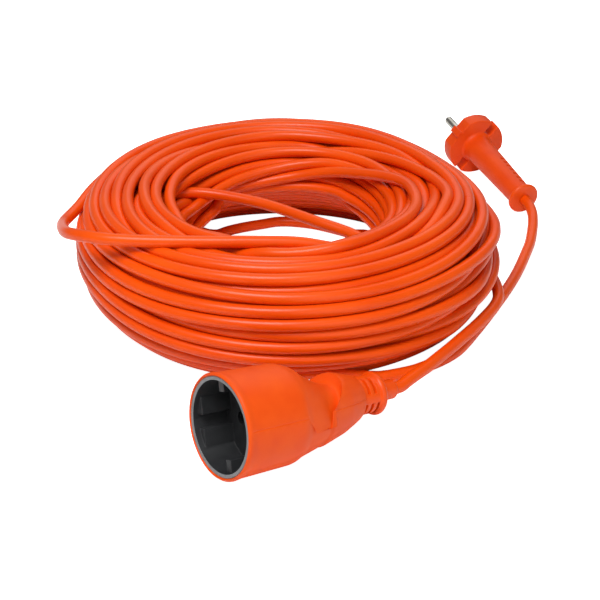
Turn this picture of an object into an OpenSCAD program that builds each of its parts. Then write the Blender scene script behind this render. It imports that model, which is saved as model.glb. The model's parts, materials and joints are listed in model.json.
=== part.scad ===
// Two-core extension cord: a round coil of cord on the floor, with its
// coupler (socket end) in front of the coil and its moulded plug behind it.
// The origin is the centre of the coil on the floor, +Z up, +Y from the
// coupler towards the plug.

/* [Cord] */
// Outside diameter of the cord
cord_d = 6; // [5:0.1:7.2]
// Diameter of one insulated core
core_d = 2.4; // [2:0.1:2.8]
// Diameter of the bare copper in a core
copper_d = 1.2; // [0.9:0.1:1.6]

/* [Coil] */
// Outside radius of the wound coil
coil_r = 109; // [100:1:115]
// Width of the coil's bundle, from its hole to its outside
coil_w = 58; // [50:1:66]
// Height of the coil's bundle
coil_h = 60; // [50:1:70]
// Rounding of the bundle's top edges
coil_top_round = 26; // [10:1:28]
// Rounding of the bundle's bottom edges
coil_foot_round = 20; // [10:1:24]

/* [Coupler] */
// Outside radius of the coupler's mouth
mouth_r = 23; // [22.8:0.1:24]
// Radius of the coupler's cover at its rear shoulder
shoulder_r = 22; // [21.6:0.1:23.2]
// Distance from the mouth to the shoulder
shoulder_at = 29; // [26:0.5:32]
// Length of the cover, from its mouth to its rear end
cover_l = 71; // [70:0.5:76]
// Radius of the plug recess
recess_r = 19.75; // [19.5:0.05:20]
// Depth of the plug recess
recess_depth = 17.5; // [17:0.1:18.5]
// Thickness of the insert's wall round the recess
insert_wall = 1.6; // [1.2:0.05:1.7]
// How far the insert's lip sits behind the cover's rim
insert_setback = 0.5; // [0:0.1:1.5]
// Thickness of the insert's floor, which the pins pass through
insert_floor = 3; // [2:0.5:5]
// Radius of a pin hole in the insert's floor
pin_hole_r = 2.65; // [2.5:0.05:3]
// Outside radius of the boot behind the coupler
boot_r = 8.6; // [7.5:0.1:9]
// Outside radius of the boot's finger ring
boot_ring_r = 9.9; // [9.4:0.1:11]
// Length of the boot behind the cover
boot_l = 24; // [20:0.5:26]

/* [Pins and contacts] */
// Distance between the two pin centres
pin_pitch = 19; // [18.8:0.1:19.2]
// Radius of a plug pin
pin_r = 2.4; // [2:0.05:2.5]
// Length of a plug pin in front of the plug's face
pin_l = 19; // [18:0.5:20]
// Inside radius between the contact leaves at rest
leaf_r = 2.25; // [2:0.05:2.4]
// Thickness of a contact leaf
leaf_t = 0.6; // [0.4:0.1:0.8]
// Length of a contact leaf
leaf_l = 12; // [10:0.5:12.5]
// Radius of the chamber that holds a contact
chamber_r = 4.8; // [4.6:0.05:5]

/* [Plug] */
// Radius of the plug's head
head_r = 18.2; // [17.8:0.1:18.5]
// Thickness of the plug's head
head_t = 9; // [8:0.5:12]
// Distance from the plug's axis to the flats on its head
head_flat = 16; // [15.5:0.1:16.2]
// Width of the guide slots in the head
guide_slot_w = 5.2; // [4.5:0.1:6]
// Radius of the handle at the head
handle_root_r = 8.6; // [8:0.1:10]
// Radius of the handle at its tail
handle_tail_r = 7; // [6.5:0.1:8]
// Length of the handle behind the head
handle_l = 61.5; // [60:0.5:70]
// Radius of the finger guard at the handle's tail
guard_r = 9.4; // [8.8:0.1:11]
// Thickness of the finger guard
guard_t = 3; // [2.5:0.5:5]

/* [Fits] */
// Gap between a cast-in piece and the plastic round it
cast_gap = 0.05; // [0.02:0.01:0.1]
// Running gap of a leaf's rolled root in its base
roll_gap = 0.06; // [0.02:0.01:0.1]

/* [Placement] */
// Turn of the coupler about the vertical
coupler_turn = 36; // [30:1:42]
// Roll of the coupler about its own axis
coupler_roll = -22; // [-30:1:-15]
// Turn of the plug about the vertical
plug_turn = -70; // [-76:1:-64]
// Roll of the plug about its own axis
plug_roll = -38; // [-45:1:-30]

/* [Hidden] */
$fn = 64;

orange_cord = "#F0500F";
orange_cover = "#EE4A12";
dark_grey = "#2E2F31";
pale_grey = "#77797B";
nickel = "#C9C6BC";
brass = "#C8A24A";
copper = "#B8663A";
core_brown = "#5B3A29";
core_blue = "#2C6DB5";

cord_r = cord_d / 2;
core_r = core_d / 2;
copper_r = copper_d / 2;
pin_x = pin_pitch / 2;

// --- coupler: distances run from the mouth, along the axis, to the tail
insert_r = recess_r + insert_wall;
floor_front = insert_setback + recess_depth;
floor_back = floor_front + insert_floor;
lip_round = 1;
waist_at = 34;
crease_at = 50;
crease_r = shoulder_r - 4.5;
rear_end_r = boot_r + 1.4;
chamber_wall = 1.6;
carrier_r = chamber_r + chamber_wall;
leaf_front = floor_back + 0.5;
leaf_back = leaf_front + leaf_l;
base_front = leaf_back;
base_bore_r = pin_r + 0.3;
base_bore_l = 4.2;
base_back = base_front + base_bore_l + 1.2;
base_r = chamber_r - cast_gap;
roll_r = 0.5;
roll_at = base_front + 1.2;
roll_y = base_bore_r + roll_r + 0.4;
leaf_w = 3.2;
chamber_back = base_back;
cap_t = 2;
cap_back = chamber_back + cap_t;
crimp_r = 1.7;
crimp_l = 7;
crimp_back = base_back + crimp_l;
bare_l = crimp_l - 1;
boot_front = cover_l - 9;
coupler_sheath_at = min(crimp_back + 13, boot_front - 3);
boot_back = cover_l + boot_l;
ring_t = 4;
ring_at = cover_l + 9.6;
collar_r = 4.5;
boot_core_r = 5;
boot_slot_t = 1.5;
boot_slot_pitch = 3.5;
boot_slot_count = 3;
boot_spine_w = 4.2;
boot_twist = 6;
coupler_tip = 10;

// the recess: flats with a channel each, and a single rib between them
flat_at = head_flat + 0.4;
channel_w = 6;
rib_w = 3.6;
rib_reach = 5;
rib_setback = 3;

// the thumb hollow on top of the cover
hollow_centre = 8;

// --- plug: distances run from the front face, along the axis, to the tail
handle_back = head_t + handle_l;
plug_tip = atan((head_r - guard_r) / (handle_l + guard_t / 2));
pin_tip_l = 1.2;
pin_neck_r = pin_r - 0.3;
pin_collar_at = 2.2;
pin_collar_t = 1.2;
pin_collar_r = pin_r + 0.8;
pin_back = 6.5;
pin_bore_l = 4.5;
carrier_back = 7;
carrier_tube_r = 4.6;
plug_sheath_at = 30;
guard_sleeve_r = 5;
guard_sleeve_l = 18;
boss_w = 4.2;
boss_out = 1.8;
slot_end_y = 11;
notch_count = 7;
notch_pitch = 4.3;
notch_t = 1.3;
notch_from = handle_back - 33.5;
notch_depth = 1.2;
notch_w = 4.4;
notch_turn = 12;

// --- where the end pieces lie, from the points where the cord leaves them;
// they keep their distance from a coil of any size
function heading(turn, tip) = [cos(turn) * cos(tip), sin(turn) * cos(tip), -sin(tip)];
lie = coil_r / 109;
coupler_ahead = heading(coupler_turn, coupler_tip);
coupler_x = 50.2 * lie - boot_back * coupler_ahead.x;
coupler_y = -117 * lie - boot_back * coupler_ahead.y;
coupler_z = shoulder_at * sin(coupler_tip) + shoulder_r * cos(coupler_tip);
coupler_exit = [coupler_x, coupler_y, coupler_z] + boot_back * coupler_ahead;
plug_ahead = heading(plug_turn, plug_tip);
plug_x = 141.35 * lie - (handle_l + guard_t) * plug_ahead.x;
plug_y = 90.7 * lie - (handle_l + guard_t) * plug_ahead.y;
plug_z = head_r * cos(plug_tip);
plug_exit = [plug_x, plug_y, plug_z] + (handle_l + guard_t) * plug_ahead;

// --- free cord: each tail starts square on its end piece, then lies as it fell;
// heights are counted in cord radii of 3, so that a thicker cord lies higher on itself
function laid(points) = [for (p = points) [p.x * lie, p.y * lie, p.z * cord_r / 3]];
plug_tail_points = concat(
    [plug_exit, plug_exit + 5 * plug_ahead],
    laid([
        [144, 77, 7], [143, 67, 5.5], [141, 57, 4], [138, 45, 3], [133, 30, 3], [127, 13, 3],
        [120, -4, 3], [112, -21, 3], [103, -39, 3], [94, -56, 3], [86, -70, 3], [78, -79, 3],
        [69, -86, 3], [61, -91, 3], [53, -94, 3], [45, -97, 3], [36, -100, 3], [27, -102, 3],
        [16, -102, 4], [4, -98, 7]
    ])
);
coupler_tail_points = concat(
    [coupler_exit, coupler_exit + 4 * coupler_ahead],
    laid([
        [59, -108, 10], [66, -100, 10], [73, -90, 9.5], [80, -80, 9], [87, -70, 9], [94, -60, 9],
        [101, -49, 9], [107, -38, 9], [112, -24, 9.5], [113, -9, 10], [109, 5, 12], [102, 17, 15]
    ])
);
tail_sides = 10;

// ---------- placing ----------

module in_coupler() {
    translate([coupler_x, coupler_y, coupler_z])
        rotate([0, 0, coupler_turn])
        rotate([0, 90 + coupler_tip, 0])
        rotate([0, 0, 90 + coupler_roll])
        children();
}

module in_plug() {
    translate([plug_x, plug_y, plug_z])
        rotate([0, 0, plug_turn])
        rotate([0, 90 + plug_tip, 0])
        rotate([0, 0, 90 + plug_roll])
        translate([0, 0, -head_t])
        children();
}

// a round bar from one point to another
module bar(from, to, r) {
    run = to - from;
    far = norm(run);
    translate(from)
        rotate([0, acos(run.z / far), atan2(run.y, run.x)])
        cylinder(r = r, h = far);
}

// ---------- cord ----------

function ring_dir(points, i) =
    let (a = points[max(i - 1, 0)], b = points[min(i + 1, len(points) - 1)])
    (b - a) / norm(b - a);

function ring_points(points, i, r) =
    let (
        along = ring_dir(points, i),
        side_raw = abs(along.z) > 0.75 ? cross(along, [0, 1, 0]) : cross(along, [0, 0, 1]),
        side = side_raw / norm(side_raw),
        up = cross(side, along)
    )
    [for (k = [0 : tail_sides - 1])
        points[i] + r * (cos(360 * k / tail_sides) * side + sin(360 * k / tail_sides) * up)];

module swept_tube(points, r) {
    last = len(points) - 1;
    corners = [for (i = [0 : last]) each ring_points(points, i, r)];
    walls = [for (i = [0 : last - 1], k = [0 : tail_sides - 1])
        let (a = i * tail_sides + k, b = i * tail_sides + (k + 1) % tail_sides)
        each [[a, b, b + tail_sides], [a, b + tail_sides, a + tail_sides]]];
    first_cap = [for (k = [tail_sides - 1 : -1 : 0]) k];
    last_cap = [for (k = [0 : tail_sides - 1]) last * tail_sides + k];
    polyhedron(points = corners, faces = concat(walls, [first_cap, last_cap]));
}

// the bundle's section: a block with round corners, larger at the top
module coil_section() {
    inner = coil_r - coil_w;
    foot = coil_foot_round;
    top = coil_top_round;
    translate([inner + foot, 0]) square([coil_w - 2 * foot, foot]);
    translate([inner, foot]) square([coil_w, coil_h - foot - top]);
    translate([inner + top, coil_h - top]) square([coil_w - 2 * top, top]);
    for (x = [inner + foot, coil_r - foot]) translate([x, foot]) circle(r = foot);
    for (x = [inner + top, coil_r - top]) translate([x, coil_h - top]) circle(r = top);
}

module cord_coil() {
    color(orange_cord) rotate_extrude($fn = 128) coil_section();
}

module cord_plug_tail() {
    color(orange_cord) swept_tube(plug_tail_points, cord_r);
}

module cord_coupler_tail() {
    color(orange_cord) swept_tube(coupler_tail_points, cord_r);
}

// ---------- coupler ----------

module cover_shape() {
    rotate_extrude($fn = 96)
        polygon([
            [0, 0],
            [mouth_r - lip_round, 0],
            [mouth_r - 0.3, 0.3],
            [mouth_r, lip_round],
            [shoulder_r + 0.4, lip_round + 3],
            [shoulder_r, shoulder_at],
            [shoulder_r - 0.5, shoulder_at + 2.2],
            [shoulder_r - 1.6, waist_at],
            [shoulder_r - 3.6, (waist_at + crease_at) / 2 + 2],
            [crease_r, crease_at],
            [crease_r - 2.9, crease_at + 10],
            [rear_end_r + 2.3, cover_l - 4.5],
            [rear_end_r + 1, cover_l - 1.7],
            [rear_end_r - 0.4, cover_l],
            [0, cover_l]
        ]);
}

// what the thumb hollow takes away, turned about an axis below the coupler's own:
// it falls towards the tail, ends in a steep wall and then skims the rear cone
module thumb_hollow() {
    rim = shoulder_r;
    translate([0, -hollow_centre, 0])
        rotate_extrude($fn = 96)
        polygon([
            [hollow_centre + rim - 0.5, waist_at + 0.5],
            [hollow_centre + rim - 4.4, waist_at + 4],
            [hollow_centre + rim - 7, waist_at + 8],
            [hollow_centre + rim - 9.3, waist_at + 12],
            [hollow_centre + rim - 11.8, waist_at + 16.5],
            [hollow_centre + rim - 12.8, waist_at + 20],
            [hollow_centre + rim - 13.2, waist_at + 22.6],
            [hollow_centre + rim - 12.4, waist_at + 23.8],
            [hollow_centre + rim - 10.8, waist_at + 24.6],
            [hollow_centre + rim - 9.1, waist_at + 25],
            [hollow_centre + rear_end_r + 0.3, cover_l - 1],
            [hollow_centre + rim + 12, cover_l - 1],
            [hollow_centre + rim + 12, waist_at + 0.5]
        ]);
}

// two tubes side by side with a web between them
module twin_tube(r, h) {
    for (x = [-pin_x, pin_x]) translate([x, 0, 0]) cylinder(r = r, h = h);
    translate([-pin_x, -r, 0]) cube([pin_pitch, 2 * r, h]);
}

// the bends of one core, from its contact to the end of the sheath
function coupler_core_points(side) = [
    [side * pin_x, 0, crimp_back],
    [side * pin_x, 0, crimp_back + 2],
    [side * core_r * 1.1, 0, coupler_sheath_at - 1],
    [side * core_r * 1.1, 0, coupler_sheath_at]
];

function plug_core_points(side) = [
    [side * pin_x, 0, pin_back],
    [side * pin_x, 0, pin_back + 0.3],
    [side * 3.6, 0, pin_back + 8],
    [side * core_r * 1.1, 0, plug_sheath_at - 8],
    [side * core_r * 1.1, 0, plug_sheath_at]
];

// the channel that a core lies in
module core_channel(points) {
    r = core_r + cast_gap;
    for (i = [0 : len(points) - 2]) bar(points[i], points[i + 1], r);
    for (i = [1 : len(points) - 2]) translate(points[i]) sphere(r = r + cast_gap);
}

module coupler_cover() {
    color(orange_cover) in_coupler() difference() {
        cover_shape();
        thumb_hollow();
        translate([0, 0, -1]) cylinder(r = insert_r + cast_gap, h = floor_back + 1, $fn = 96);
        translate([0, 0, floor_back - 0.01]) twin_tube(carrier_r + cast_gap, cap_back - floor_back + 0.01);
        for (side = [-1, 1]) {
            translate([side * pin_x, 0, cap_back - 0.01])
                cylinder(r = crimp_r + cast_gap, h = crimp_back - cap_back + 0.01);
            core_channel(coupler_core_points(side));
        }
        translate([0, 0, coupler_sheath_at])
            cylinder(r = cord_r + cast_gap, h = cover_l);
        translate([0, 0, boot_front]) cylinder(r = boot_r + cast_gap, h = cover_l);
    }
}

module recess_cut() {
    from = insert_setback - 0.01;
    rib_from = insert_setback + rib_setback;
    translate([0, 0, from]) cylinder(r = recess_r, h = rib_setback + 0.01, $fn = 96);
    translate([0, 0, rib_from - 0.01]) intersection() {
        cylinder(r = recess_r, h = recess_depth - rib_setback + 0.01, $fn = 96);
        difference() {
            union() {
                translate([-flat_at, -recess_r, 0])
                    cube([2 * flat_at, 2 * recess_r, recess_depth]);
                translate([-recess_r, -channel_w / 2, 0])
                    cube([2 * recess_r, channel_w, recess_depth]);
            }
            for (side = [-1, 1])
                translate([-rib_w / 2, side * (recess_r - rib_reach / 2) - rib_reach / 2 - 0.5, -1])
                    cube([rib_w, rib_reach + 1, recess_depth + 2]);
        }
    }
}

module coupler_insert() {
    color(dark_grey) in_coupler() difference() {
        union() {
            translate([0, 0, insert_setback])
                cylinder(r = insert_r, h = floor_back - insert_setback, $fn = 96);
            translate([0, 0, floor_back]) twin_tube(carrier_r, chamber_back - floor_back);
        }
        recess_cut();
        for (x = [-pin_x, pin_x]) translate([x, 0, 0]) {
            cylinder(r = pin_hole_r, h = floor_back + 1);
            translate([0, 0, floor_back]) cylinder(r = chamber_r, h = chamber_back);
        }
    }
}

module contact_cap() {
    color(pale_grey) in_coupler() difference() {
        translate([0, 0, chamber_back]) twin_tube(carrier_r, cap_t);
        for (x = [-pin_x, pin_x])
            translate([x, 0, chamber_back - 1]) cylinder(r = crimp_r + cast_gap, h = cap_t + 2);
    }
}

// the base of one contact: a ring that the pin's tip enters, with a crimp barrel behind
module contact_base(side) {
    color(brass) in_coupler() translate([side * pin_x, 0, 0]) difference() {
        union() {
            translate([0, 0, base_front]) cylinder(r = base_r, h = base_back - base_front);
            translate([0, 0, base_back]) cylinder(r = crimp_r, h = crimp_l);
        }
        translate([0, 0, base_front - 1]) cylinder(r = base_bore_r, h = base_bore_l + 1);
        translate([0, 0, crimp_back - bare_l])
            cylinder(r = copper_r + cast_gap, h = bare_l + 1);
        for (way = [-1, 1]) {
            translate([-2.4, way * roll_y, roll_at])
                rotate([0, 90, 0])
                cylinder(r = roll_r + roll_gap, h = 4.8, $fn = 32);
            translate([-2.4, way > 0 ? 2 : -2 - base_r, base_front - 1])
                cube([4.8, base_r, roll_at - base_front + 1]);
        }
    }
}

module left_contact_base() { contact_base(-1); }
module right_contact_base() { contact_base(1); }

// one sprung leaf: part of a tube with a flared tip, on a root that turns in the base
module leaf(side, way) {
    half = 52;
    root_w = leaf_w / 2;
    color(nickel) in_coupler() translate([side * pin_x, 0, 0]) {
        rotate([0, 0, way * 90 - half])
            rotate_extrude(angle = 2 * half)
            polygon([
                [leaf_r + 0.5, leaf_front],
                [leaf_r + 0.5 + leaf_t, leaf_front],
                [leaf_r + leaf_t, leaf_front + 2],
                [leaf_r + leaf_t, leaf_back - 0.9],
                [leaf_r, leaf_back - 0.9],
                [leaf_r, leaf_front + 2]
            ]);
        translate([-root_w, way > 0 ? leaf_r + 0.2 : -roll_y + 0.25, leaf_back - 1.8])
            cube([leaf_w, roll_y - leaf_r - 0.45, roll_at - leaf_back + 1.8]);
        translate([-root_w - 0.3, way * roll_y, roll_at])
            rotate([0, 90, 0])
            cylinder(r = roll_r, h = leaf_w + 0.6, $fn = 32);
    }
}

module left_leaf_top() { leaf(-1, 1); }
module left_leaf_bottom() { leaf(-1, -1); }
module right_leaf_top() { leaf(1, 1); }
module right_leaf_bottom() { leaf(1, -1); }

module coupler_core(side, tint) {
    color(tint) in_coupler() swept_tube(coupler_core_points(side), core_r);
}

module coupler_copper(side) {
    color(copper) in_coupler()
        translate([side * pin_x, 0, crimp_back - bare_l]) cylinder(r = copper_r, h = bare_l);
}

module coupler_brown_core() { coupler_core(-1, core_brown); }
module coupler_blue_core() { coupler_core(1, core_blue); }
module coupler_brown_copper() { coupler_copper(-1); }
module coupler_blue_copper() { coupler_copper(1); }

module coupler_sheath_end() {
    color(orange_cord) in_coupler()
        translate([0, 0, coupler_sheath_at]) cylinder(r = cord_r, h = boot_back - coupler_sheath_at);
}

// one quarter's slots, cut between two spines of the boot
module boot_slots(quarter, shift) {
    rotate([0, 0, 90 * quarter + boot_twist])
        for (i = [0 : boot_slot_count - 1])
            translate([boot_spine_w / 2, boot_spine_w / 2, cover_l - 0.6 + shift + i * boot_slot_pitch])
            cube([boot_r, boot_r, boot_slot_t]);
}

module coupler_boot() {
    color(orange_cord) in_coupler() difference() {
        union() {
            translate([0, 0, boot_front]) cylinder(r = boot_r, h = ring_at - boot_front + 1);
            translate([0, 0, ring_at]) rotate_extrude() {
                square([boot_ring_r - ring_t / 2, ring_t]);
                translate([boot_ring_r - ring_t / 2, ring_t / 2]) circle(r = ring_t / 2);
            }
            translate([0, 0, ring_at + 1]) cylinder(r = collar_r, h = boot_back - ring_at - 2);
            translate([0, 0, boot_back - 1]) cylinder(r1 = collar_r, r2 = collar_r - 0.8, h = 1);
        }
        translate([0, 0, boot_front - 1]) cylinder(r = cord_r + cast_gap, h = boot_back);
        difference() {
            for (quarter = [0 : 3])
                boot_slots(quarter, (quarter % 2 == 0 ? 1 : 0) * boot_slot_pitch / 2);
            translate([0, 0, boot_front]) cylinder(r = boot_core_r, h = boot_back);
        }
    }
}

// ---------- plug ----------

module head_outline() {
    difference() {
        intersection() {
            circle(r = head_r, $fn = 96);
            translate([-head_flat, -head_r - 1]) square([2 * head_flat, 2 * head_r + 2]);
        }
        for (way = [-1, 1]) {
            translate([0, way * slot_end_y]) circle(r = guide_slot_w / 2, $fn = 32);
            translate([-guide_slot_w / 2, way > 0 ? slot_end_y : -head_r - 1])
                square([guide_slot_w, head_r + 1 - slot_end_y]);
        }
    }
}

module plug_head() {
    linear_extrude(head_t) head_outline();
    for (side = [-1, 1])
        translate([side * (head_flat + boss_out / 2 - 0.5) - boss_out / 2 - 0.5, -boss_w / 2, 0])
            cube([boss_out + 1, boss_w, head_t]);
}

module handle_shape() {
    rotate_extrude()
        polygon([
            [0, head_t - 1],
            [handle_root_r + 1.6, head_t - 1],
            [handle_root_r + 1.6, head_t],
            [handle_root_r + 0.5, head_t + 1.2],
            [handle_root_r, head_t + 3.5],
            [handle_tail_r, handle_back],
            [0, handle_back]
        ]);
}

function handle_r(z) =
    handle_root_r + (handle_tail_r - handle_root_r) * (z - head_t - 3.5) / (handle_l - 3.5);

// short grip notches on the two sides of the handle that face the guide slots
module grip_notches() {
    for (way = [-1, 1], i = [0 : notch_count - 1]) {
        at = notch_from + i * notch_pitch;
        floor_y = handle_r(at) - notch_depth;
        rotate([0, 0, notch_turn])
            translate([-notch_w / 2, way > 0 ? floor_y : -floor_y - 4, at])
            cube([notch_w, 4, notch_t]);
    }
}

module plug_cover() {
    color(orange_cover) in_plug() difference() {
        union() {
            plug_head();
            handle_shape();
        }
        grip_notches();
        translate([0, 0, -1]) twin_tube(carrier_tube_r + cast_gap, carrier_back + 1);
        for (side = [-1, 1]) core_channel(plug_core_points(side));
        translate([0, 0, plug_sheath_at]) cylinder(r = cord_r + cast_gap, h = handle_back);
        translate([0, 0, handle_back - guard_sleeve_l])
            cylinder(r = guard_sleeve_r + cast_gap, h = guard_sleeve_l + 1);
    }
}

// a pin with a round tip, a neck and collar that keep it in the carrier, and a tail
module pin_shape() {
    collar_back = pin_collar_at + pin_collar_t;
    rotate_extrude()
        polygon([
            [0, -pin_l],
            [pin_r - 1.1, -pin_l],
            [pin_r - 0.4, -pin_l + 0.4],
            [pin_r, -pin_l + pin_tip_l],
            [pin_r, 0],
            [pin_neck_r, 0],
            [pin_neck_r, pin_collar_at],
            [pin_collar_r, pin_collar_at],
            [pin_collar_r, collar_back],
            [pin_neck_r, collar_back],
            [pin_neck_r, pin_back],
            [0, pin_back]
        ]);
}

module pin(side) {
    color(nickel) in_plug() translate([side * pin_x, 0, 0]) difference() {
        pin_shape();
        translate([0, 0, pin_back - pin_bore_l])
            cylinder(r = copper_r + cast_gap, h = pin_bore_l + 1);
    }
}

module left_pin() { pin(-1); }
module right_pin() { pin(1); }

module pin_carrier() {
    color(dark_grey) in_plug() difference() {
        twin_tube(carrier_tube_r, carrier_back);
        for (x = [-pin_x, pin_x]) translate([x, 0, 0]) {
            translate([0, 0, -1]) cylinder(r = pin_neck_r + cast_gap, h = pin_back + 1);
            translate([0, 0, pin_collar_at])
                cylinder(r = pin_collar_r + cast_gap, h = pin_collar_t);
        }
        for (side = [-1, 1]) core_channel(plug_core_points(side));
    }
}

module plug_guard() {
    half = guard_t / 2;
    color(orange_cord) in_plug() difference() {
        union() {
            translate([0, 0, handle_back - guard_sleeve_l])
                cylinder(r = guard_sleeve_r, h = guard_sleeve_l + half);
            translate([0, 0, handle_back]) rotate_extrude() {
                square([guard_r - half, guard_t]);
                translate([guard_r - half, half]) circle(r = half);
            }
        }
        translate([0, 0, handle_back - guard_sleeve_l - 1])
            cylinder(r = cord_r + cast_gap, h = guard_sleeve_l + guard_t + 2);
    }
}

module plug_sheath_end() {
    color(orange_cord) in_plug()
        translate([0, 0, plug_sheath_at]) cylinder(r = cord_r, h = handle_back + guard_t - plug_sheath_at);
}

module plug_core(side, tint) {
    color(tint) in_plug() swept_tube(plug_core_points(side), core_r);
}

module plug_brown_core() { plug_core(-1, core_brown); }
module plug_blue_core() { plug_core(1, core_blue); }

module plug_copper(side) {
    color(copper) in_plug()
        translate([side * pin_x, 0, pin_back - pin_bore_l]) cylinder(r = copper_r, h = pin_bore_l);
}

module plug_brown_copper() { plug_copper(-1); }
module plug_blue_copper() { plug_copper(1); }

cord_coil();
cord_plug_tail();
cord_coupler_tail();
coupler_cover();
coupler_insert();
contact_cap();
coupler_boot();
left_contact_base();
right_contact_base();
left_leaf_top();
left_leaf_bottom();
right_leaf_top();
right_leaf_bottom();
coupler_sheath_end();
coupler_brown_core();
coupler_blue_core();
coupler_brown_copper();
coupler_blue_copper();
plug_cover();
pin_carrier();
left_pin();
right_pin();
plug_guard();
plug_sheath_end();
plug_brown_core();
plug_blue_core();
plug_brown_copper();
plug_blue_copper();
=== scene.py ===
import bpy
import json
import math
import numpy as np
from mathutils import Matrix, Vector


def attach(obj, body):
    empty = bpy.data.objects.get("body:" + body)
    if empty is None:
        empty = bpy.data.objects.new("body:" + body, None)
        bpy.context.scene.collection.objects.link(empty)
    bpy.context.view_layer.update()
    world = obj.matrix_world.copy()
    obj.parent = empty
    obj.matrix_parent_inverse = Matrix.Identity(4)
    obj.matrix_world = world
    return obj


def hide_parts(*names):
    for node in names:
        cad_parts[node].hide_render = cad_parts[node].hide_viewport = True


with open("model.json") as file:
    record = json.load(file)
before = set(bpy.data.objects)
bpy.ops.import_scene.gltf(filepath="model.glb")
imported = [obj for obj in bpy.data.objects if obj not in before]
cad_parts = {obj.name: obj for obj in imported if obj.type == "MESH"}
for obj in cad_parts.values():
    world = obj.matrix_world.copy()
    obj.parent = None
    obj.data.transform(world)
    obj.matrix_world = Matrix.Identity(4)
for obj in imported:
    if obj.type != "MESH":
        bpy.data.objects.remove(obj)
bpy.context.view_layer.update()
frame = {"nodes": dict(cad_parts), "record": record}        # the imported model, in metres: +Y runs from the coupler to the plug, +Z is up
nodes = frame["nodes"]
mm = 0.001
bpy.ops.object.select_all(action="DESELECT")

# camera, floor and light

studio = {
    "aim": (8.2, -15.9, 0.0),     # point the camera looks at (mm)
    "distance": 682.5,
    "elevation": 29.0,            # above the horizon (degrees)
    "lens": 78.0,
    "sensor": 36,
    "nearest": 0.02,              # what is nearer the camera isn't drawn (m)
    "floorSize": 6000.0,
    "floorColour": "#FFFFFF",
    "floorGlow": 1.0,
    "world": 0.2,
    "lit": (0, 0, 0.03),          # point the lights look at (m)
    "lights": (                   # (name, place in m, side in m, power in W)
        ("key", (-0.2, -0.5, 1.0), 0.5, 10.0),
        ("fill", (0.5, -1.1, 0.45), 0.8, 2.4),
        ("rim", (0.15, 0.85, 0.9), 1.1, 3.5),
    ),
}


def linear(hexColour):
    # sRGB hex to the linear colour that the sockets take
    parts = [int(hexColour[i:i + 2], 16) / 255 for i in (1, 3, 5)]
    return [p / 12.92 if p <= 0.04045 else ((p + 0.055) / 1.055) ** 2.4 for p in parts] + [1.0]


def addNode(material, kind, links=(), **settings):
    # adds a node; a setting goes to the node or, where it has none, to the socket of that name
    node = material.node_tree.nodes.new(kind)
    for name, value in settings.items():
        if hasattr(node, name):
            setattr(node, name, value)
        else:
            socket = next(s for s in node.inputs if s.name.replace(" ", "_") == name)
            socket.default_value = value
    for source, output, target in links:
        end = node.inputs[target] if isinstance(target, (int, str)) else target
        material.node_tree.links.new(source.outputs[output], end)
    return node


def aimedAt(obj, place, aim):
    obj.location = place
    obj.rotation_euler = (Vector(aim) - Vector(place)).to_track_quat("-Z", "Y").to_euler()


def setStage():
    aim = Vector(studio["aim"]) * mm
    tip = math.radians(studio["elevation"])
    back = Vector((0, -math.cos(tip), math.sin(tip)))
    bpy.ops.object.camera_add()
    camera = bpy.context.object
    camera.name = "camera"
    camera.data.lens = studio["lens"]
    camera.data.sensor_width = studio["sensor"]
    camera.data.clip_start = studio["nearest"]
    aimedAt(camera, aim + back * studio["distance"] * mm, aim)
    bpy.context.scene.camera = camera

    size = studio["floorSize"] * mm
    bpy.ops.mesh.primitive_plane_add(size=size, location=(0, 0, 0))
    floor = bpy.context.object
    floor.name = "studio_floor"

    for name, place, across, power in studio["lights"]:
        bpy.ops.object.light_add(type="AREA", location=place)
        light = bpy.context.object
        light.name = "light_" + name
        light.data.size = across
        light.data.energy = power
        aimedAt(light, place, studio["lit"])

    world = bpy.data.worlds.new("pale_studio")
    bpy.context.scene.world = world
    world.use_nodes = True
    background = world.node_tree.nodes["Background"]
    background.inputs["Color"].default_value = (1, 1, 1, 1)
    background.inputs["Strength"].default_value = studio["world"]
    bpy.context.scene.view_settings.view_transform = "Standard"   # keeps the strong orange
    bpy.ops.object.select_all(action="DESELECT")
    return floor


floor = setStage()
print("stage set")

# materials


def newMaterial(name, colour, roughness, **sockets):
    material = bpy.data.materials.new(name)
    material.use_nodes = True
    shader = material.node_tree.nodes["Principled BSDF"]
    shader.inputs["Base Color"].default_value = linear(colour)
    shader.inputs["Roughness"].default_value = roughness
    for socket, value in sockets.items():
        shader.inputs[socket.replace("_", " ")].default_value = value
    return material, shader


grainSize = 0.9     # of the fine bump on moulded plastic (mm)


def mottle(material, shader, low, high, size, strength=0.0, depth=0.02, rough=None):
    # soft colour change from low to high in patches of the given size (mm), with a fine bump (depth in mm)
    coords = addNode(material, "ShaderNodeTexCoord")
    onObject = [(coords, "Object", "Vector")]
    patches = addNode(material, "ShaderNodeTexNoise", onObject, Scale=1000 / size, Detail=4.0)
    colours = addNode(material, "ShaderNodeValToRGB", [(patches, "Fac", "Fac")])
    for stop, at, colour in zip(colours.color_ramp.elements, (0.3, 0.7), (low, high)):
        stop.position = at
        stop.color = linear(colour)
    material.node_tree.links.new(colours.outputs["Color"], shader.inputs["Base Color"])
    if rough:
        spread = addNode(material, "ShaderNodeMapRange", [(patches, "Fac", "Value")],
                         To_Min=rough[0], To_Max=rough[1])
        material.node_tree.links.new(spread.outputs["Result"], shader.inputs["Roughness"])
    if strength:
        grain = addNode(material, "ShaderNodeTexNoise", onObject, Scale=1000 / grainSize, Detail=3.0)
        bump = addNode(material, "ShaderNodeBump", [(grain, "Fac", "Height")],
                       Strength=strength, Distance=depth * mm)
        material.node_tree.links.new(bump.outputs["Normal"], shader.inputs["Normal"])


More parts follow.
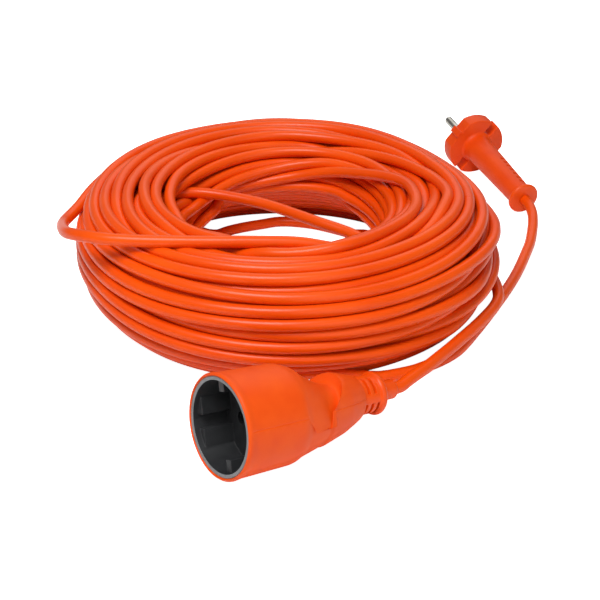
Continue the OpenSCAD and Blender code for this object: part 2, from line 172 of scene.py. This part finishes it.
# a backlit sheet of white acrylic: its glow hides its shadows and is seen, but lights nothing
floorPaint, floorShader = newMaterial("backlit_white_acrylic", studio["floorColour"], 0.9)
floorShader.inputs["Emission Color"].default_value = (1, 1, 1, 1)
seen = addNode(floorPaint, "ShaderNodeLightPath")
glow = addNode(floorPaint, "ShaderNodeMath", [(seen, "Is Camera Ray", 0)], operation="MULTIPLY")
glow.inputs[1].default_value = studio["floorGlow"]
floorPaint.node_tree.links.new(glow.outputs[0], floorShader.inputs["Emission Strength"])
floor.data.materials.append(floorPaint)

# extruded plasticised PVC: wet-looking gloss with slow, soft changes of tone
sheathPvc, shader = newMaterial("extruded_pvc_sheath", "#EE5004", 0.27, IOR=1.45, Specular_IOR_Level=0.32)
mottle(sheathPvc, shader, "#E84A02", "#F25606", 40, rough=(0.24, 0.36))

# injection-moulded soft PVC with a fine spark-eroded finish: satin, no sharp reflections
coverPvc, shader = newMaterial("moulded_soft_pvc", "#EE5008", 0.5, IOR=1.45, Specular_IOR_Level=0.28)
mottle(coverPvc, shader, "#E94C05", "#F0560A", 12, strength=0.25, depth=0.03, rough=(0.42, 0.56))

# the same PVC from a polished mould: glossier, for the boot and the finger guard
bootPvc, shader = newMaterial("polished_soft_pvc", "#EC4E06", 0.34, IOR=1.45, Specular_IOR_Level=0.4)
mottle(bootPvc, shader, "#E84A03", "#F05408", 14, rough=(0.3, 0.4))

# the plug's PVC: a touch deeper and smoother than the coupler's
plugPvc, shader = newMaterial("moulded_pvc_plug", "#E84806", 0.4, IOR=1.45, Specular_IOR_Level=0.28)
mottle(plugPvc, shader, "#E44404", "#EC4E08", 12, strength=0.2, depth=0.03, rough=(0.36, 0.48))

# glass-filled polyamide: near black and dull, lighter where light grazes its grain
insertNylon, shader = newMaterial("glass_filled_polyamide", "#202123", 0.5, IOR=1.52)
mottle(insertNylon, shader, "#1C1D1F", "#28292B", 8, strength=0.3, depth=0.03, rough=(0.42, 0.6))

# the insert's lip, painted paler grey: a painted highlight where its front face meets the light
insertLipHighlight, shader = newMaterial("rubbed_polyamide", "#77797A", 0.45, IOR=1.52)
mottle(insertLipHighlight, shader, "#6E7071", "#808284", 6, strength=0.2, depth=0.03, rough=(0.4, 0.55))

capPlastic, shader = newMaterial("grey_polypropylene", "#6F7275", 0.55)
mottle(capPlastic, shader, "#696C6F", "#777A7D", 8, strength=0.2, rough=(0.5, 0.6))

# nickel-plated brass, barrel polished: warm silver with a slightly uneven sheen
nickelPlate, shader = newMaterial("nickel_plated_brass", "#C9C5BB", 0.24, Metallic=1.0)
mottle(nickelPlate, shader, "#BDB9AE", "#D6D2C8", 3, strength=0.08, rough=(0.18, 0.34))

brassBare, shader = newMaterial("pressed_brass", "#C9A24B", 0.32, Metallic=1.0)
mottle(brassBare, shader, "#BD9540", "#D3AE5A", 4, rough=(0.26, 0.42))

brownPvc, shader = newMaterial("brown_core_pvc", "#5A3826", 0.4)
mottle(brownPvc, shader, "#543322", "#61402D", 5, rough=(0.35, 0.48))

bluePvc, shader = newMaterial("blue_core_pvc", "#2B68B0", 0.4)
mottle(bluePvc, shader, "#2660A6", "#3170BA", 5, rough=(0.35, 0.48))

bareCopper, shader = newMaterial("stranded_copper", "#B8693F", 0.35, Metallic=1.0)
mottle(bareCopper, shader, "#AE5F36", "#C2744A", 1.5, strength=0.3, rough=(0.28, 0.42))

finishOf = {
    "cord_sheath": sheathPvc, "moulded_cover": coverPvc, "insert_plastic": insertNylon,
    "cap_plastic": capPlastic, "contact_brass": brassBare, "nickel": nickelPlate,
    "core_brown": brownPvc, "core_blue": bluePvc, "copper": bareCopper,
}
slotOf = {part["node"]: part["material_slot"] for part in frame["record"]["subparts"]}
for name, node in nodes.items():
    node.data.materials.clear()
    node.data.materials.append(finishOf[slotOf[name]])
print("materials made")

# the cord: one length from the coupler, round the coil, to the plug

cordLook = {
    "strand": 6.0,            # diameter (mm)
    "turns": 58,
    "stations": 72,           # points worked out in each turn
    "middle": (80.0, 30.0),   # centre of the bundle's section: radius and height
    "half": (26.2, 27.0),     # half width and half height, to the centres of the outer strands
    "wander": 4.0,            # how far a strand strays from its neat place
    "wanderOver": 14,         # stations over which it strays
    "rounds": 600,            # rounds of settling
    "seed": 11,
    "from": -60.0,            # angle where the coil's stations start
    "past": 15.1,             # and how far past the last turn they end
    "ease": 12,               # stations over which a laid strand turns to its neat place
    "letGo": 5,               # stations at its ends where its hold weakens
}

# neat places of the turns in the bundle's section (radius, height), in the order they were wound
windingOrder = [
    (99, 8), (97, 14), (105, 17), (97, 22), (106, 25), (97, 30), (106, 33), (97, 38), (106, 41), (97, 46),
    (103, 49), (97, 55), (89, 56), (89, 11), (81, 11), (81, 57), (73, 57), (73, 11), (65, 11), (65, 56),
    (57, 50), (56, 12), (62, 5), (96, 5), (103, 10),
]

couplerExit = Vector((50.2, -117.0, 10.2))
couplerAhead = Vector((0.7967, 0.5789, -0.1736))    # the way the cord leaves the coupler
plugExit = Vector((141.35, 90.7, 9.1))
plugAhead = Vector((0.3387, -0.9307, -0.1383))

couplerTail = [
    couplerExit, couplerExit + 4 * couplerAhead,
    (59, -108, 10), (66, -100, 10), (73, -90, 9.5), (80, -80, 9), (87, -70, 9), (94, -60, 9),
    (101, -49, 9), (107, -38, 9), (112, -24, 9.5), (113, -9, 10), (109, 5, 12), (102, 17, 15),
]
plugTail = [
    (4, -98, 7), (16, -102, 4), (27, -102, 3), (36, -100, 3), (45, -97, 3), (53, -94, 3), (61, -91, 3),
    (69, -86, 3), (78, -79, 3), (86, -70, 3), (94, -56, 3), (103, -39, 3), (112, -21, 3), (120, -4, 3),
    (127, 13, 3), (133, 30, 3), (138, 45, 3), (141, 57, 4), (143, 67, 5.5), (144, 77, 7),
    plugExit + 5 * plugAhead, plugExit,
]
# strands that fell out of line, each with the turn it belongs to: over the top, across the hole,
# low inside its back, and two that climb across its back to the inner top on the right
overTop = [
    (-108, 30, 40), (-112, 16, 40), (-114, 2, 41), (-112.5, -15, 44), (-109, -33, 50), (-104, -50, 56),
    (-96, -61, 60), (-83, -67, 61), (-66, -69, 61), (-38, -69, 60.5), (-13, -68, 60), (8, -67, 59),
    (25, -67, 56), (40, -64, 53), (53, -57, 51), (63, -47, 50),
]
acrossHole = [
    (58, -44, 33), (48, -30, 37), (40, -21, 39), (26, -10, 39), (8, 5, 39), (-10, 19, 39), (-30, 27, 40),
    (-47, 30, 41), (-60, 26, 42), (-68, 14, 44), (-71, -1, 47), (-69, -17, 50), (-62, -32, 51),
    (-51, -45, 51), (-38, -55, 50), (-22, -62, 48), (-6, -65, 47),
]
lowInside = [
    (62, 33, 4), (53, 44, 3.1), (43, 53, 3.1), (28, 63, 3.1), (14, 70, 3.1), (-2, 73, 3.1), (-12, 70, 3.1),
    (-29, 63, 3.1), (-41, 54, 3.1), (-49, 45, 3.2), (-58, 33, 4),
]
climbLow = [
    (-5, -78, 60), (10, -79, 60.5), (24, -76, 61), (38, -68, 61), (50, -56, 60.5), (60, -42, 60),
    (66, -24, 59), (66, -10, 59), (63, 4, 58), (55, 16, 56), (42, 30, 52), (25, 46, 46), (8, 53, 41), (-13, 53, 37),
    (-30, 48, 35), (-45, 40, 34), (-56, 28, 34), (-62, 12, 35),
]
climbHigh = [
    (80, -38, 58), (84, -22, 58.5), (83, -6, 58.5), (79, 8, 58), (73, 20, 57.5), (63, 36, 56), (50, 50, 54),
    (36, 60, 52), (17, 66, 49), (-3, 67, 46.5), (-26, 60, 44.5), (-42, 50, 43), (-56, 35, 42), (-64, 20, 42),
]
laidStrands = (
    (couplerTail, 0), (plugTail, cordLook["turns"]), (overTop, 13), (acrossHole, 45), (lowInside, 52),
    (climbLow, 44), (climbHigh, 30),
)


def throughPoints(points, step=1.0):
    # a smooth line through the points, with a point about every step
    p = np.array([tuple(q) for q in points], float)
    p = np.vstack([2 * p[0] - p[1], p, 2 * p[-1] - p[-2]])
    out = []
    for i in range(1, len(p) - 2):
        a, b, c, d = p[i - 1:i + 3]
        t = np.linspace(0, 1, max(2, int(np.linalg.norm(c - b) / step)), endpoint=False)[:, None]
        out.append(0.5 * (2 * b + (c - a) * t + (2 * a - 5 * b + 4 * c - d) * t ** 2
                          + (3 * b - a - 3 * c + d) * t ** 3))
    out.append(p[-2][None])
    return np.vstack(out)


def smoothed(values, width):
    # Gaussian mean along the strand, over width stations
    reach = int(4 * width)
    kernel = np.exp(-0.5 * (np.arange(-reach, reach + 1) / width) ** 2)
    kernel /= kernel.sum()
    longer = np.pad(values, ((reach, reach), (0, 0)), mode="edge")
    return np.stack([np.convolve(longer[:, c], kernel, mode="valid") for c in range(values.shape[1])], 1)


def turnedAngles(points, turn):
    angle = np.degrees(np.unwrap(np.arctan2(points[:, 1], points[:, 0])))
    return angle + 360 * turn


def windCoil():
    # Each station of the cord has an angle round the coil, and a place (radius, height) in the section there.
    # Strands that would run into each other are pushed apart, and pressed out to the bundle's wall,
    # round after round, until they lie on each other.
    look = cordLook
    per = look["stations"]
    step = 360 / per
    angle = np.arange(look["from"], 360 * look["turns"] + look["past"], step)
    count = len(angle)
    rng = np.random.default_rng(look["seed"])

    path = np.array(windingOrder, float)
    run = np.concatenate([[0], np.cumsum(np.linalg.norm(np.diff(path, axis=0), axis=1))])
    along = np.linspace(0, run[-1], count)
    place = np.stack([np.interp(along, run, path[:, c]) for c in (0, 1)], 1)
    stray = smoothed(rng.standard_normal((count, 2)), look["wanderOver"])
    place = smoothed(place, 14) + stray * look["wander"] / stray.std()
    slack = smoothed(rng.standard_normal((count, 1)), 16)
    slack = np.clip(slack / slack.std(), -1.5, 2.2)

    hold = np.zeros(count)      # 1 where a strand is held on its laid line
    guide = np.zeros((count, 2))
    ease, letGo = look["ease"], look["letGo"]
    for points, turn in laidStrands:
        fine = throughPoints(points)
        turned = turnedAngles(fine, turn)
        on = np.nonzero((angle >= turned[0]) & (angle <= turned[-1]))[0]
        guide[on, 0] = np.interp(angle[on], turned, np.hypot(fine[:, 0], fine[:, 1]))
        guide[on, 1] = np.interp(angle[on], turned, fine[:, 2])
        first, last = on[0], on[-1]
        hold[on] = 1
        for n in range(letGo):
            if first > 0:
                hold[first + n] = ((n + 0.5) / letGo) ** 2
            if last < count - 1:
                hold[last - n] = ((n + 0.5) / letGo) ** 2
        # the stations beside it start on its line carried on, and then turn to their own places
        for end, way in ((first, -1), (last, 1)):
            for n in range(1, ease):
                k = end + way * n
                if 0 <= k < count and hold[k] == 0:
                    share = 0.5 + 0.5 * math.cos(math.pi * n / ease)
                    ahead = guide[end] + (guide[end] - guide[end - 2 * way]) / 2 * (1 - math.exp(-n / 3)) * 3
                    place[k] = share * ahead + (1 - share) * place[k]
        place[on] = guide[on]
    hold = hold[:, None]
    free = 1 - hold

    theta = np.mod(angle + 180, 360) - 180

    def swell(at, size, width=25):
        away = np.mod(theta - at + 180, 360) - 180
        return size * np.exp(-(away / width) ** 2)

    # the bundle isn't quite round: it stands out or in at these angles
    outward = (swell(-12, 5) + swell(25, -5) + swell(145, 3) + swell(205, -4)) / 2
    centre = np.stack([look["middle"][0] + outward, np.full(count, look["middle"][1])], 1)
    half = np.stack([look["half"][0] + outward, np.full(count, look["half"][1])], 1) * (1 + 0.022 * slack)
    # at the back of the hole the low inner corner is cut back, along a line from (91, 3) to (63, 27)
    cutAway = np.array((24.0, 28.0)) / math.hypot(24, 28)
    uncut = 30 * (1 - np.exp(-(np.maximum(np.abs(theta - 92) - 35, 0) / 18) ** 2))

    rows = look["turns"] + 2
    one, other = np.triu_indices(rows, 1)

    def byTurn(values):
        # one row for each turn; the empty places at the end are far away from all else
        out = np.full((rows * per, 2), 1e4)
        out[:count] = values
        out[count:] += 50 * np.arange(rows * per - count)[:, None]
        return out.reshape(rows, per, 2)

    for r in range(look["rounds"]):
        done = r / look["rounds"]
        apart = look["strand"] + (0.5 if done < 0.5 else 0.12)
        slope = np.gradient(place, axis=0) / (place[:, :1] * math.radians(step))
        slope = np.where(hold > 0, np.clip(slope, -0.6, 0.6), slope)
        places, slopes = byTurn(place), byTurn(slope)
        between = places[one] - places[other]
        pair, station = np.nonzero((np.abs(between) < 2.2 * apart).all(2))
        between = between[pair, station]
        crossing = slopes[one[pair], station] - slopes[other[pair], station]
        steep = 1 + (crossing ** 2).sum(1)
        lean = (between * crossing).sum(1) / steep
        gap = np.sqrt(np.maximum((between ** 2).sum(1) - lean ** 2 * steep, 1e-9))
        between -= crossing * lean[:, None]
        hit = gap < apart
        pair, station, between, gap = pair[hit], station[hit], between[hit], gap[hit]
        unit = between / np.maximum(np.linalg.norm(between, axis=1), 1e-6)[:, None]
        push = unit * ((apart - gap) / 2)[:, None]
        move = np.zeros((rows * per, 2))
        hits = np.zeros(rows * per)
        for turnOf, way in ((one, 1), (other, -1)):
            at = turnOf[pair] * per + station
            np.add.at(move, at, way * push)
            np.add.at(hits, at, 1)
        move = move[:count] / np.maximum(1, hits[:count] * 0.55)[:, None]
        outwards = place - centre
        reach = np.linalg.norm(outwards, axis=1)[:, None]
        move += (0.06 if done < 0.85 else 0.02) * outwards / np.maximum(reach, 4)
        move = 0.25 * move + 0.75 * smoothed(move, 4 if done < 0.5 else 3 if done < 0.9 else 2)
        place = place + move * free
        place = place + (0.3 if done < 0.5 else 0.2) * (smoothed(place, 2) - place) * free
        # keep within the wall, out of the cut-away corner and off the floor
        reach = (place - centre) / half
        power = np.where(reach[:, 1:] > 0, 2.35, 3.0)
        over = (np.abs(reach) ** power).sum(1, keepdims=True) ** (1 / power)
        give = 0.25 if done < 0.9 else 0.12      # a strand that crosses another may stand out of the wall
        place = place + give * free * (centre - place) * (1 - 1 / np.maximum(over, 1))
        lack = -((place - (91, 3)) @ cutAway) - uncut
        place = place + 0.5 * np.maximum(lack, 0)[:, None] * cutAway * free
        place = place + hold ** 2 * 0.5 * (guide - place)
        place[:, 1:] = np.maximum(place[:, 1:], look["strand"] / 2)

    around = np.radians(angle)
    return np.stack([place[:, 0] * np.cos(around), place[:, 0] * np.sin(around), place[:, 1]], 1)


def cordLine():
    # the coil's stations, with the rest of the two tails before and after them
    coil = windCoil()
    before = throughPoints(couplerTail)
    start = int(np.argmin(np.linalg.norm(before - coil[0], axis=1)))
    after = throughPoints(plugTail)
    end = int(np.argmin(np.linalg.norm(after - coil[-1], axis=1)))
    points = np.vstack([before[:max(1, start - 3):4], coil, after[end + 4::4], after[-1:]])
    return throughPoints(points, 5.5)


cordPoints = cordLine() * mm
cordLength = float(np.linalg.norm(np.diff(cordPoints, axis=0), axis=1).sum())
curve = bpy.data.curves.new("cord", "CURVE")
curve.dimensions = "3D"
line = curve.splines.new("POLY")
line.points.add(len(cordPoints) - 1)
line.points.foreach_set("co", np.hstack([cordPoints, np.ones((len(cordPoints), 1))]).ravel())
curve.bevel_depth = cordLook["strand"] / 2 * mm
curve.bevel_resolution = 4
curve.use_fill_caps = True
line.use_smooth = True
curve.materials.append(sheathPvc)
cord = bpy.data.objects.new("cord", curve)
bpy.context.scene.collection.objects.link(cord)
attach(cord, "cord_set")
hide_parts("cord_coil", "cord_plug_tail", "cord_coupler_tail")
print("cord laid:", round(cordLength, 2), "m in", len(cordPoints), "points")

# ways of making the moulded pieces; each is made along Z in millimetres and then laid in its place


def lyingFrame(tailEnd, ahead, length, roll):
    # from a piece's own frame (Z runs to the cord, X level) to where it lies, with its end at tailEnd
    along = Vector(ahead).normalized()
    level = Vector((-along.y, along.x, 0)).normalized()
    up = along.cross(level)
    turn = Matrix((level, up, along)).transposed().to_4x4() @ Matrix.Rotation(math.radians(roll), 4, "Z")
    return Matrix.Translation((Vector(tailEnd) - length * along) * mm) @ turn @ Matrix.Scale(mm, 4)


# each one's length, and its roll about its own axis
couplerFrame = lyingFrame(couplerExit, couplerAhead, length=95.0, roll=-22)
plugFrame = lyingFrame(plugExit, plugAhead, length=73.5, roll=-38)


def onlyThis(piece):
    bpy.ops.object.select_all(action="DESELECT")
    piece.select_set(True)
    bpy.context.view_layer.objects.active = piece


def ringed(name, rings, sides, reshape=None):
    # a ring of the first radius, extruded from station to station; rings are (radius, distance along Z)
    bpy.ops.object.select_all(action="DESELECT")
    radius, at = rings[0]
    bpy.ops.mesh.primitive_circle_add(vertices=sides, radius=radius, location=(0, 0, 0))
    piece = bpy.context.object
    piece.name = piece.data.name = name
    bpy.ops.object.mode_set(mode="EDIT")
    bpy.ops.mesh.select_all(action="SELECT")
    bpy.ops.transform.translate(value=(0, 0, at))
    for nextRadius, nextAt in rings[1:]:
        bpy.ops.mesh.extrude_region_move(TRANSFORM_OT_translate={"value": (0, 0, nextAt - at)})
        if nextRadius != radius:
            scale = nextRadius / radius
            bpy.ops.transform.resize(value=(scale, scale, 1), center_override=(0, 0, nextAt))
        radius, at = nextRadius, nextAt
    bpy.ops.object.mode_set(mode="OBJECT")
    if reshape:
        reshape(piece.data, sides)
    return piece


def bridged(piece):
    # joins the last ring to the first
    onlyThis(piece)
    bpy.ops.object.mode_set(mode="EDIT")
    bpy.ops.mesh.select_all(action="DESELECT")
    bpy.ops.mesh.select_non_manifold()
    bpy.ops.mesh.bridge_edge_loops()
    bpy.ops.object.mode_set(mode="OBJECT")


def closed(piece):
    # welds what meets, fills what is open and turns every face outwards
    onlyThis(piece)
    bpy.ops.object.mode_set(mode="EDIT")
    bpy.ops.mesh.select_all(action="SELECT")
    bpy.ops.mesh.remove_doubles(threshold=0.0005)
    bpy.ops.mesh.fill_holes(sides=0)
    bpy.ops.mesh.select_all(action="SELECT")
    bpy.ops.mesh.normals_make_consistent(inside=False)
    bpy.ops.object.mode_set(mode="OBJECT")


def finished(piece, place, material, node, smooth=30):
    # smooth shading, its place in its mesh, its finish, and the CAD node it stands for
    onlyThis(piece)
    bpy.ops.object.shade_smooth_by_angle(angle=math.radians(smooth))
    piece.data.transform(place)
    piece.data.materials.clear()
    piece.data.materials.append(material)
    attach(piece, "cord_set")
    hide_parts(node)
    return piece


def roundedCopy(node, width):
    # a CAD node's shape with its edges rounded, as a mould leaves them (width in mm)
    piece = bpy.data.objects.new(node + "_shape", nodes[node].data.copy())
    bpy.context.scene.collection.objects.link(piece)
    onlyThis(piece)
    bpy.ops.object.mode_set(mode="EDIT")
    bpy.ops.mesh.select_all(action="SELECT")
    bpy.ops.mesh.remove_doubles(threshold=2e-6)
    bpy.ops.mesh.dissolve_limited(angle_limit=math.radians(0.5))
    bpy.ops.object.mode_set(mode="OBJECT")
    edge = piece.modifiers.new("edge", "BEVEL")
    edge.width = width * mm
    edge.segments = 3
    edge.limit_method = "ANGLE"
    edge.angle_limit = math.radians(28)
    edge.use_clamp_overlap = False
    edge.miter_outer = "MITER_ARC"
    bpy.ops.object.modifier_apply(modifier="edge")
    return piece


def fineLine(points, step, soften):
    # a profile as closely spaced (radius, distance) pairs with its corners softened (mm)
    p = np.array(points, float)
    run = np.concatenate([[0], np.cumsum(np.linalg.norm(np.diff(p, axis=0), axis=1))])
    at = np.linspace(0, run[-1], int(run[-1] / step) + 1)
    fine = np.stack([np.interp(at, run, p[:, c]) for c in (0, 1)], 1)
    soft = smoothed(fine, soften / step)
    soft[0], soft[-1] = fine[0], fine[-1]
    return [(float(r), float(s)) for r, s in soft]


# the coupler: distances run from its mouth to the cord

couplerLook = {
    "sides": 240,
    "outside": [     # (radius, distance) of the cover's outside
        (21.9, 0.0), (22.7, 0.35), (23.0, 1.1), (22.5, 4.0), (22.0, 29.0), (21.6, 31.0), (20.4, 34.0),
        (18.4, 43.0), (17.5, 46.6), (17.9, 47.8), (14.8, 60.0), (12.3, 66.5), (11.0, 69.5), (10.1, 71.0),
    ],
    "hollow": [      # (height over the axis, distance) of the thumb hollow's middle
        (24.0, 30.0), (21.5, 34.5), (17.6, 38.0), (15.0, 42.0), (12.7, 46.0), (10.4, 50.5), (9.3, 54.0),
        (8.9, 56.4), (9.7, 57.6), (11.4, 58.5), (13.0, 59.2), (13.0, 61.0), (10.6, 70.0), (10.4, 72.0),
    ],
    "hollowCentre": 8.0,       # the hollow is round about a line this far under the axis
    "hollowSlant": 12.0,       # how far its end wall comes forward at the sides
    "edgeSoftness": 1.6,
    "seamDepth": 0.22,         # parting line of the mould, along both sides
    "seamWidth": 0.28,
    "profileStep": 0.7,
    "profileSoftness": 0.45,
    "lipDepth": 1.15,          # how far in the insert's paler lip, its painted highlight, reaches
    "insertEdge": 0.22,        # roundings of the insert's and the boot's edges
    "bootEdge": 0.25,
}


def softLower(a, b, k):
    # the lower of two heights, with a rounded change between them
    h = np.clip(0.5 + 0.5 * (b - a) / k, 0, 1)
    return b * (1 - h) + a * h - k * h * (1 - h)


def makeCouplerCover():
    look = couplerLook
    outside = fineLine(look["outside"], look["profileStep"], look["profileSoftness"])
    # the inside, from the cord to the mouth, as (half length between two round ends, end radius, distance)
    inside = [
        (0, 8.7, 71.0), (0, 8.7, 62.0), (0, 3.06, 61.98), (0, 3.06, 58.9), (2.64, 1.36, 57.9),
        (9.5, 1.36, 47.9), (9.5, 1.8, 46.0), (9.5, 1.8, 40.95), (9.5, 6.46, 40.9), (9.5, 6.46, 21.05),
        (0, 21.42, 21.0), (0, 21.42, 0.6),
    ]
    rings = outside + [(half + end, at) for half, end, at in inside]
    count = len(outside)

    def reshape(mesh, sides):
        places = np.zeros(len(mesh.vertices) * 3)
        mesh.vertices.foreach_get("co", places)
        p = places.reshape(-1, sides, 3)      # ring by ring
        around = np.arctan2(p[0, :, 1], p[0, :, 0])
        # closer together at the two parting lines
        drawn = around - 0.42 * np.sin(2 * around)
        radius = np.hypot(p[:, :, 0], p[:, :, 1])
        across, height = np.cos(drawn)[None] * radius, np.sin(drawn)[None] * radius
        outer = slice(0, count)
        r, s = radius[outer], p[outer, :, 2]
        side = 1 - np.clip(height[outer] / r, 0, 1)
        middle = np.interp(s + look["hollowSlant"] * side ** 1.5,
                           [q[1] for q in look["hollow"]], [q[0] for q in look["hollow"]])
        reach = middle + look["hollowCentre"]
        floorLine = np.sqrt(np.maximum(reach ** 2 - across[outer] ** 2, 1)) - look["hollowCentre"]
        hollowed = softLower(height[outer], floorLine, look["edgeSoftness"])
        height[outer] = np.where((s > 31) & (s < 70.6), hollowed, height[outer])
        # parting lines
        offSeam = np.abs(np.sin(drawn))[None] * r
        dip = look["seamDepth"] * np.exp(-(offSeam / look["seamWidth"]) ** 2) * np.clip((s - 1.5) / 2, 0, 1)
        across[outer] -= np.sign(across[outer]) * dip
        # the inside's outlines
        for k, (half, end, at) in enumerate(inside):
            if half:
                c, sn = np.abs(np.cos(drawn)), np.abs(np.sin(drawn))
                flat = end / np.maximum(sn, 1e-6)
                tip = half * c + np.sqrt(np.maximum(end ** 2 - (half * sn) ** 2, 0))
                out = np.where(flat * c <= half, flat, tip)
                across[count + k], height[count + k] = np.cos(drawn) * out, np.sin(drawn) * out
        p[:, :, 0], p[:, :, 1] = across, height
        mesh.vertices.foreach_set("co", p.ravel())
        mesh.update()

    piece = ringed("coupler_cover_moulded", rings, look["sides"], reshape)
    bridged(piece)
    closed(piece)
    return finished(piece, couplerFrame, coverPvc, "coupler_cover", smooth=40)


makeCouplerCover()


def faceMaterial(piece, material, test):
    # a second finish on the faces whose middle (in metres) passes the test
    piece.data.materials.append(material)
    index = len(piece.data.materials) - 1
    for face in piece.data.polygons:
        if test(face.center):
            face.material_index = index


def makeInsert():
    piece = roundedCopy("coupler_insert", couplerLook["insertEdge"])
    piece.name = "coupler_insert_moulded"
    finished(piece, Matrix.Identity(4), insertNylon, "coupler_insert")
    toMouth = couplerFrame.inverted()
    # the faces at the mouth take the paler finish, a painted highlight on the lip's front face
    faceMaterial(piece, insertLipHighlight, lambda middle: (toMouth @ middle).z < couplerLook["lipDepth"])


makeInsert()

boot = roundedCopy("coupler_boot", couplerLook["bootEdge"])
boot.name = "coupler_boot_moulded"
finished(boot, Matrix.Identity(4), bootPvc, "coupler_boot")
print("coupler made")

# the plug: distances run from its front face to the cord

plugLook = {
    "pinSides": 64,
    "pinRadius": 2.4,
    "pinLength": 19.0,
    "pinOffAxis": 9.5,
    "neckRadius": 2.1,
    "collarRadius": 3.2,
    "boreRadius": 0.66,       # hole in a pin's tail for the copper
    "guardSides": 96,
    "guardFront": 70.5,
    "guardSleeve": 18,        # length of its sleeve in the handle
    "guardBore": 3.06,
    "coverEdge": 0.45,        # rounding of the cover's edges
}


def makePin(side):
    # its tip, neck, collar and tail, and the bore up the tail
    look = plugLook
    r, neck, collar, bore = (look[key] for key in ("pinRadius", "neckRadius", "collarRadius", "boreRadius"))
    turned = np.linspace(0.05, math.pi / 2, 8)[1:]
    rings = [(0.45, -look["pinLength"] - 0.02), (0.85, -look["pinLength"])]
    rings += [(r - 1.5 * (1 - math.sin(a)), -look["pinLength"] + 1.1 * (1 - math.cos(a))) for a in turned]
    rings += [(r, -2.0), (r, -0.02), (neck, 0.0), (neck, 2.2), (collar, 2.2), (collar, 3.4),
              (neck, 3.4), (neck, 6.5), (bore, 6.5), (bore, 2.0)]
    piece = ringed(side + "_pin_turned", rings, look["pinSides"])
    closed(piece)
    across = -look["pinOffAxis"] if side == "left" else look["pinOffAxis"]
    place = plugFrame @ Matrix.Translation((across, 0, 0))
    return finished(piece, place, nickelPlate, side + "_pin")


def makeGuard():
    # its sleeve, its front face, its round rim and its back face
    front, bore = plugLook["guardFront"], plugLook["guardBore"]
    sleeve = front - plugLook["guardSleeve"]
    rings = [(bore, sleeve), (4.96, sleeve), (4.96, front + 0.02), (7.4, front), (8.6, front + 0.12)]
    rings += [(8.2 + 1.2 * math.cos(a), front + 1.35 + 1.2 * math.sin(a))
              for a in np.linspace(-1.2, 1.35, 9)]
    rings += [(7.4, front + 2.72), (6.0, front + 2.92), (4.6, front + 3.0), (3.4, front + 3.0),
              (bore, front + 2.8)]
    piece = ringed("plug_guard_moulded", rings, plugLook["guardSides"])
    bridged(piece)
    closed(piece)
    return finished(piece, plugFrame, bootPvc, "plug_guard")


leftPin, rightPin = makePin("left"), makePin("right")
plugGuard = makeGuard()
plugCover = roundedCopy("plug_cover", plugLook["coverEdge"])
plugCover.name = "plug_cover_moulded"
finished(plugCover, Matrix.Identity(4), plugPvc, "plug_cover")
print("plug made")

bpy.context.view_layer.update()
